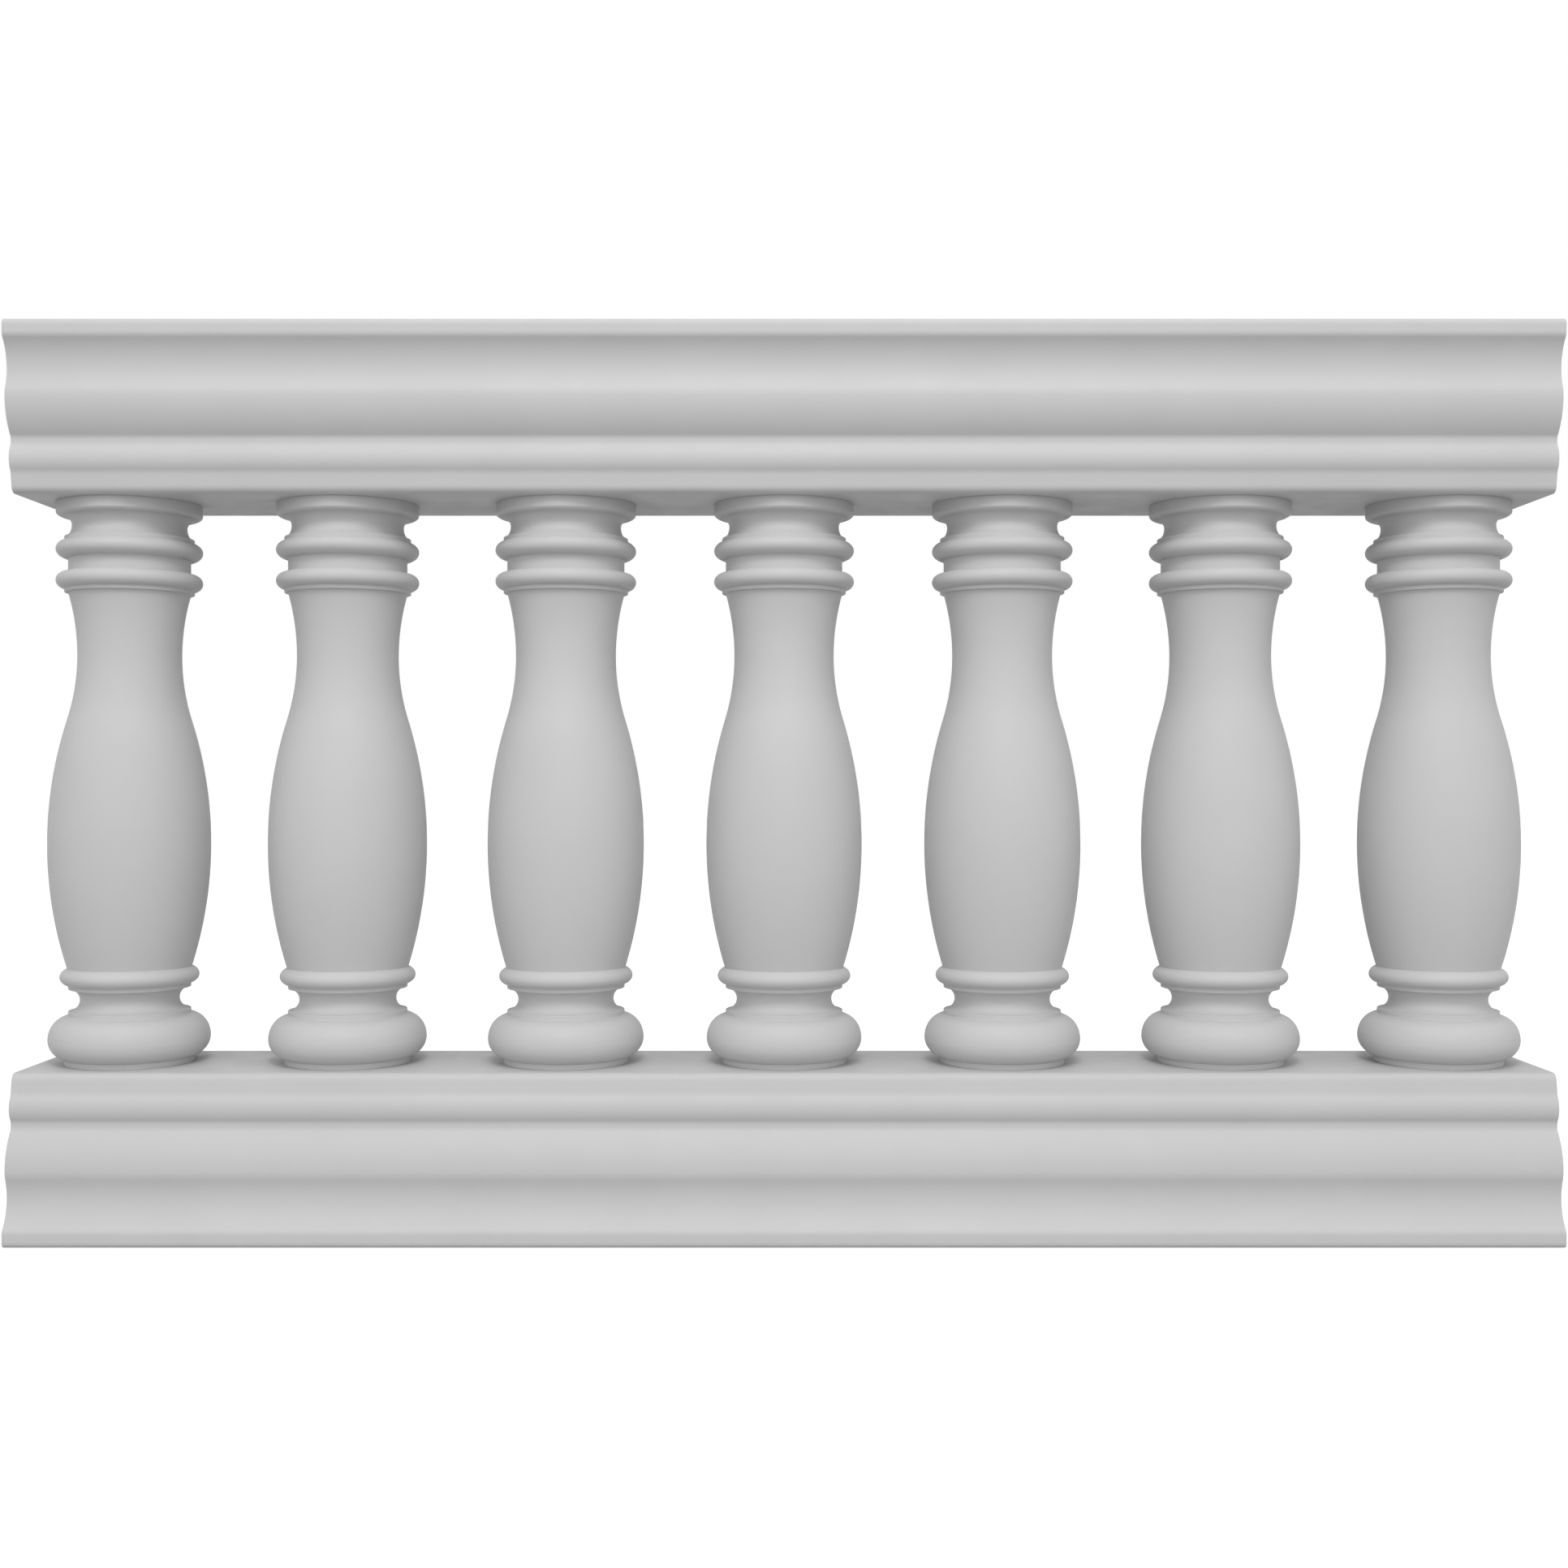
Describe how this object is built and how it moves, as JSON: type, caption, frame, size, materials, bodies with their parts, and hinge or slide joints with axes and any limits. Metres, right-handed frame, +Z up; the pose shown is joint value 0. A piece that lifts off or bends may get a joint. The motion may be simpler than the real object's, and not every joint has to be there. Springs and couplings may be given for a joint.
{
  "type": "fiberglass balustrade bay",
  "caption": "Straight balustrade bay: turned fiberglass balusters between a moulded top rail and a matching bottom rail, open between the balusters.",
  "frame": {"origin": "on the floor, under the middle of the bay", "axes": "+X along the bay to the right, +Y to the back, +Z up"},
  "size_m": [1.538, 0.2178, 0.9144],
  "materials": {
    "gelcoat": "smooth matt light grey gelcoat",
    "laminate": "plain ground laminate, matt",
    "steel": "zinc plated"
  },
  "bodies": {
    "root": {"top_rail": "gelcoat", "top_cover": "gelcoat", "bottom_rail": "gelcoat", "base_plate": "laminate", "baluster_1": "gelcoat", "baluster_2": "gelcoat", "baluster_3": "gelcoat", "baluster_4": "gelcoat", "baluster_5": "gelcoat", "baluster_6": "gelcoat", "baluster_7": "gelcoat", "tie_rod_1": "steel", "tie_rod_2": "steel", "tie_rod_3": "steel", "tie_rod_4": "steel", "tie_rod_5": "steel", "tie_rod_6": "steel", "tie_rod_7": "steel", "top_left_end_plate": "laminate", "top_right_end_plate": "laminate", "bottom_left_end_plate": "laminate", "bottom_right_end_plate": "laminate"}
  },
  "joints": []
}
